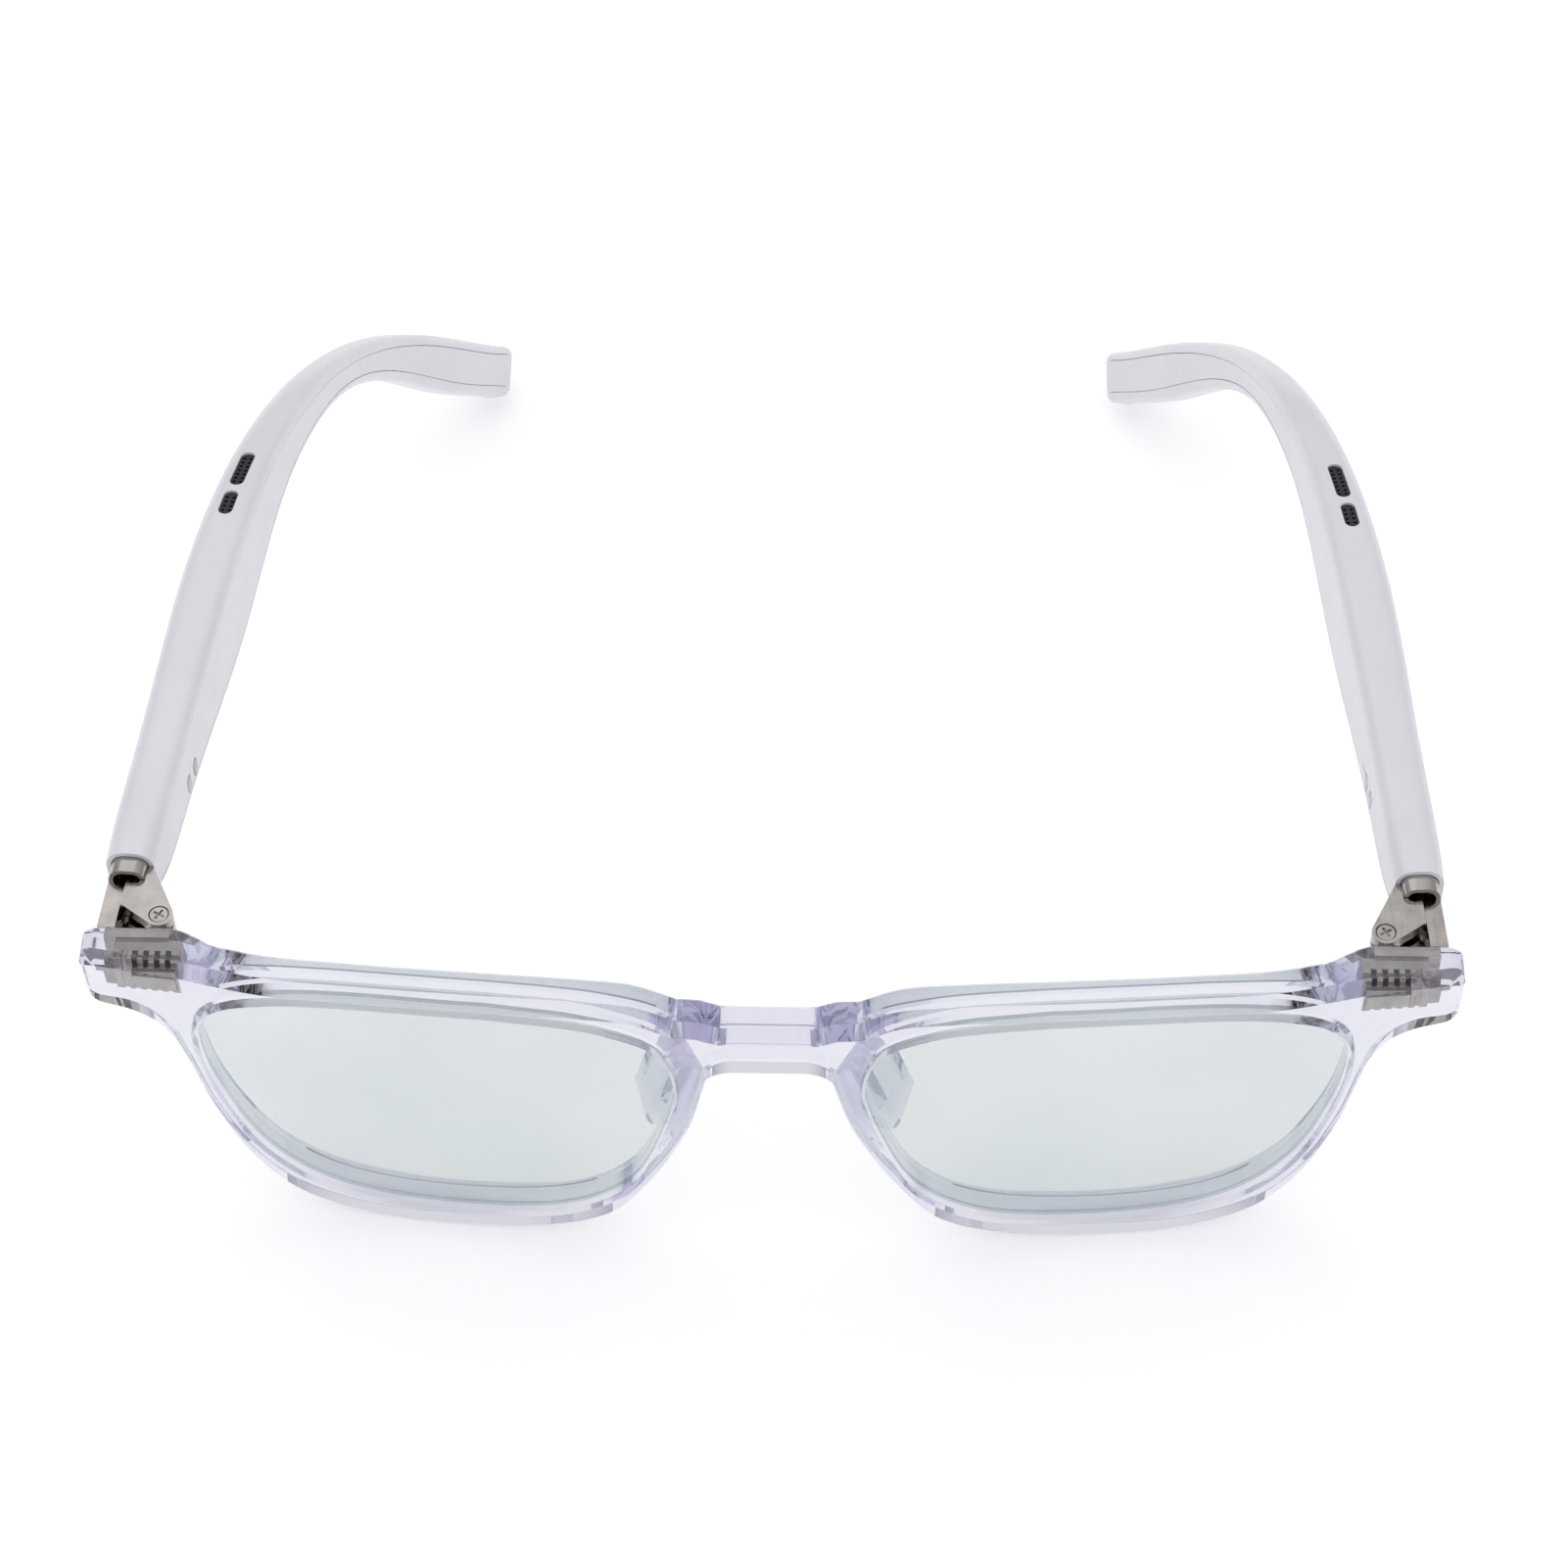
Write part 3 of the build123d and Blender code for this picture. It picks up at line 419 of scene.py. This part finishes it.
def build_front():
    """The acetate front with its polished bevels, cut by the two lens openings.

    Rings of points run round the outline and each opening at four levels, from the front face to the
    back face. A triangle mesh fills the front and the back between them.
    """
    half = half_outline()
    outer = clean_ring(half + [np.array((-p[0], p[1])) for p in reversed(half)])
    left = lens_ring()
    right = np.array([(-x, y) for x, y in left[::-1]])
    outer_out = outward_normals(outer)
    facing_up = np.clip(outer_out[:, 1] * BEVEL_SPREAD, 0, 1)
    bevel = LOW_BEVEL + (TOP_BEVEL - LOW_BEVEL) * facing_up
    verts = []
    faces = []

    def add_ring(points, depths):
        first = len(verts)
        verts.extend(in_space(x, y, d) for (x, y), d in zip(points, depths))
        return list(range(first, len(verts)))

    def bridge(a, b):
        for i in range(len(a)):
            j = (i + 1) % len(a)
            faces.append((a[i], a[j], b[j], b[i]))

    def profile(ring, normals, front_bevel, sign):
        """The four levels of one ring; sign is 1 for the outline and -1 for an opening."""
        front = ring - sign * normals * front_bevel[:, None]
        rear = ring - sign * normals * BACK_BEVEL
        return (
            (front, add_ring(front, [shell_depth(x, 0) for x, _ in front])),
            (ring, add_ring(ring, [shell_depth(x, 0) + drop for (x, _), drop in zip(ring, front_bevel)])),
            (ring, add_ring(ring, [back_depth(x, y) - BACK_BEVEL for x, y in ring])),
            (rear, add_ring(rear, [back_depth(x, y) for x, y in rear])),
        )

    def fill(rings, depth_of):
        """Fills the area between the outline and the two openings with triangles."""
        flat = [Vector(p) for ring, _ in rings for p in ring]
        index = [i for _, ids in rings for i in ids]
        edges = []
        start = 0
        for ring, _ in rings:
            edges += [(start + i, start + (i + 1) % len(ring)) for i in range(len(ring))]
            start += len(ring)
        edge_points = np.concatenate([ring for ring, _ in rings])
        bounds, *holes = (ring for ring, _ in rings)

        def in_front(x, y):
            return inside(bounds, x, y) and not any(inside(hole, x, y) for hole in holes)

        for x in np.arange(-FILL_SIDE, FILL_SIDE + FILL_STEP / 4, FILL_STEP):
            for y in np.arange(FILL_LOW, BROW, FILL_STEP):
                if np.hypot(edge_points[:, 0] - x, edge_points[:, 1] - y).min() < FILL_CLEAR:
                    continue
                if in_front(x, y):
                    flat.append(Vector((x, y)))
                    verts.append(in_space(x, y, depth_of(x, y)))
                    index.append(len(verts) - 1)
        points, _, triangles, origin, _, _ = delaunay_2d_cdt(flat, edges, [], 1, FILL_MERGE)
        for triangle in triangles:
            x, y = sum((points[i] for i in triangle), Vector((0, 0))) / 3
            if in_front(x, y):
                faces.append(tuple(index[origin[i][0]] for i in triangle))

    outside = profile(outer, outer_out, bevel, 1)
    openings = []
    for ring in (left, right):
        normals = outward_normals(ring)
        bevel = LENS_LOW_BEVEL + (LENS_TOP_BEVEL - LENS_LOW_BEVEL) * np.clip(normals[:, 1], 0, 1)
        openings.append(profile(ring, normals, bevel, -1))
    for levels in (outside, *openings):
        for (_, a), (_, b) in zip(levels, levels[1:]):
            bridge(a, b)
    fill([levels[0] for levels in (outside, *openings)], lambda x, y: shell_depth(x, 0))
    fill([levels[-1] for levels in (outside, *openings)], back_depth)
    front = new_piece("front_acetate", verts, faces, "clear_acetate", "front")
    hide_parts("front_frame")


# ---- springs --------------------------------------------------------------------------------
def build_spring(side):
    """A coil spring laid along the spring's travel in place of the CAD spring; its far end rests on the rod's
    head.
    """
    node = f"{side}_hinge_spring"
    travel = next(j for j in frame["record"]["behaviour"]["joints"] if j["name"] == f"{side}_spring_travel")
    along = Vector(travel["axis"]).normalized()
    up = Vector((0, 0, 1))
    outward = along.cross(up)
    low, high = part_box(node)
    start = (low + high) / 2 - along * (SPRING_LENGTH / 2 * MM)
    steps, sides = 24 * SPRING_TURNS, 10  # points along the wire and round it
    verts = []
    for step in range(steps + 1):
        angle = 2 * math.pi * SPRING_TURNS * step / steps
        radial = outward * math.cos(angle) + up * math.sin(angle)
        middle = start + along * (SPRING_LENGTH * step / steps * MM) + radial * (SPRING_RADIUS * MM)
        for k in range(sides):
            turn = 2 * math.pi * k / sides
            verts.append(middle + (radial * math.cos(turn) + along * math.sin(turn)) * (SPRING_WIRE * MM))
    faces = [tuple(range(sides)), tuple(steps * sides + k for k in reversed(range(sides)))]
    for i in range(0, steps * sides, sides):
        for k in range(sides):
            after = (k + 1) % sides
            faces.append((i + k, i + after, i + sides + after, i + sides + k))
    spring = new_piece(f"{side}_coil", verts, faces, "spring_steel", f"{side}_hinge")
    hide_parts(node)
    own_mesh(spring)


# ---- CAD nodes ------------------------------------------------------------------------------
WELD_DISTANCE = 1e-6
SHARP_ANGLE = math.radians(35)
BEVELS = {
    "hinge_leaf": 0.10, "hinge_screw": 0.05, "hinge_base": 0.08, "hinge_cap": 0.10, "temple_housing": 0.15,
    "temple_cover": 0.12, "charge_contacts": 0.06, "battery": 0.15, "speaker": 0.08,
    "circuit_board": 0.05, "microphone": 0.05,
}


def dress(name, node):
    """Gives a CAD node its material, welds its shading seams and eases or splits its sharp edges."""
    kind = name.split("_", 1)[1]
    slots = {part["node"]: part["material_slot"] for part in frame["record"]["subparts"]}
    node.data.materials.clear()
    node.data.materials.append(MATERIALS["pad_acetate" if kind == "nose_pad" else slots[name]])
    if "custom_normal" in node.data.attributes:
        node.data.attributes.remove(node.data.attributes["custom_normal"])
    node.data.shade_smooth()
    weld = node.modifiers.new("weld", "WELD")
    weld.merge_threshold = WELD_DISTANCE
    width = BEVELS.get(kind, 0.0)
    if width:
        bevel = node.modifiers.new("bevel", "BEVEL")
        bevel.width = width * MM
        bevel.segments = 2
        bevel.limit_method = "ANGLE"
        bevel.angle_limit = SHARP_ANGLE
        bevel.use_clamp_overlap = True
        bevel.harden_normals = True
    else:
        split = node.modifiers.new("edges", "EDGE_SPLIT")
        split.split_angle = SHARP_ANGLE


for node_name, node_object in frame["nodes"].items():
    dress(node_name, node_object)
build_front()
for spring_side in ("left", "right"):
    build_spring(spring_side)


# ---- stage ----------------------------------------------------------------------------------
FLOOR_SIZE = 3.0
FLOOR_CELLS = 24
FLOOR_GAP = 0.2 * MM


def build_floor():
    """A pale floor just below the glasses, with a faint glow that keeps its far parts white."""
    low_z = cad_low.z - FLOOR_GAP
    row = FLOOR_CELLS + 1
    places = [FLOOR_SIZE * (i / FLOOR_CELLS - 0.5) for i in range(row)]
    verts = [(x, y, low_z) for y in places for x in places]
    corners = [j * row + i for j in range(FLOOR_CELLS) for i in range(FLOOR_CELLS)]
    faces = [(corner, corner + 1, corner + row + 1, corner + row) for corner in corners]
    mesh = bpy.data.meshes.new("floor")
    mesh.from_pydata(verts, [], faces)
    floor = bpy.data.objects.new("floor", mesh)
    bpy.context.scene.collection.objects.link(floor)
    s = Shader("pale_floor")
    colour = s.ramp(s.noise(3.0), (0.93, 0.93, 0.93), (0.95, 0.95, 0.95))
    diffuse = s.principled(colour, 0.9, Specular_IOR_Level=0.0)
    glow = s.add("Emission", Color=(1, 1, 1), Strength=0.2)
    both = s.add("AddShader")
    s.set(both, 0, diffuse)
    s.set(both, 1, glow.outputs[0])
    mesh.materials.append(s.surface(both.outputs[0]))


def build_world():
    """A studio that is bright overhead and greyer at the horizon; the camera sees a pale backdrop."""
    world = bpy.data.worlds.new("studio")
    bpy.context.scene.world = world
    world.use_nodes = True
    tree = world.node_tree
    tree.nodes.clear()
    out = tree.nodes.new("ShaderNodeOutputWorld")
    sky = tree.nodes.new("ShaderNodeBackground")
    ramp = tree.nodes.new("ShaderNodeValToRGB")
    split = tree.nodes.new("ShaderNodeSeparateXYZ")
    coords = tree.nodes.new("ShaderNodeTexCoord")
    tree.links.new(coords.outputs["Generated"], split.inputs[0])
    tree.links.new(split.outputs["Z"], ramp.inputs["Fac"])
    stops = ramp.color_ramp.elements
    stops[0].position = 0.0
    stops[0].color = (0.46, 0.45, 0.54, 1)
    stops[1].position = 0.85
    stops[1].color = (1.0, 1.0, 1.0, 1)
    middle = stops.new(0.35)
    middle.color = (0.72, 0.71, 0.78, 1)
    tree.links.new(ramp.outputs["Color"], sky.inputs["Color"])
    sky.inputs["Strength"].default_value = 0.85
    backdrop = tree.nodes.new("ShaderNodeBackground")
    backdrop.inputs["Color"].default_value = (0.94, 0.94, 0.95, 1)
    path = tree.nodes.new("ShaderNodeLightPath")
    mix = tree.nodes.new("ShaderNodeMixShader")
    tree.links.new(path.outputs["Is Camera Ray"], mix.inputs[0])
    tree.links.new(sky.outputs[0], mix.inputs[1])
    tree.links.new(backdrop.outputs[0], mix.inputs[2])
    tree.links.new(mix.outputs[0], out.inputs["Surface"])


def area_light(name, place, target, size, power):
    """A square lamp that points at a target; refracted rays don't see it, so it leaves no hard patches."""
    data = bpy.data.lights.new(name, "AREA")
    data.shape = "SQUARE"
    data.size = size
    data.energy = power
    light = bpy.data.objects.new(name, data)
    light.location = place
    light.rotation_euler = (Vector(target) - Vector(place)).to_track_quat("-Z", "Y").to_euler()
    light.visible_transmission = False
    bpy.context.scene.collection.objects.link(light)


def build_camera():
    """The camera's place comes from a pinhole model of the view: elevation, yaw, roll and distance.

    The view looks at the middle between the hinges, and lengths are in millimetres until the end.
    """
    elevation, yaw, roll = math.radians(48.50), math.radians(-2.862), math.radians(-1.374)
    distance, shift_x, shift_y = 406.65, 1.857, 14.249
    pitch = math.radians(1.93)
    hinge_middle = Vector((0, 8.9, 8.6))
    forward = Vector((0, math.cos(elevation), -math.sin(elevation)))
    up = Vector((0, math.sin(elevation), math.cos(elevation)))
    right = Vector((1, 0, 0))
    place = right * shift_x + up * shift_y - forward * distance
    side = right * math.cos(roll) + up * math.sin(roll)
    top = up * math.cos(roll) - right * math.sin(roll)
    turn = Matrix.Rotation(-pitch, 3, "X") @ Matrix.Rotation(-yaw, 3, "Z")
    place = turn @ place + hinge_middle
    side, top, forward = turn @ side, turn @ top, turn @ forward
    data = bpy.data.cameras.new("camera")
    data.lens = 90.87
    data.sensor_width = 36.0
    data.clip_start = 0.01
    camera = bpy.data.objects.new("camera", data)
    basis = Matrix((side, top, -forward)).transposed().to_4x4()
    basis.translation = place * MM
    camera.matrix_world = basis
    bpy.context.scene.collection.objects.link(camera)
    bpy.context.scene.camera = camera


build_floor()
build_world()
area_light("key", (-0.25, 0.15, 0.9), (0, 0.05, 0), 1.4, 2.6)
area_light("fill", (0.7, -0.5, 0.45), (0, 0.03, 0), 0.9, 0.8)
build_camera()
bpy.context.scene.view_settings.view_transform = "Standard"
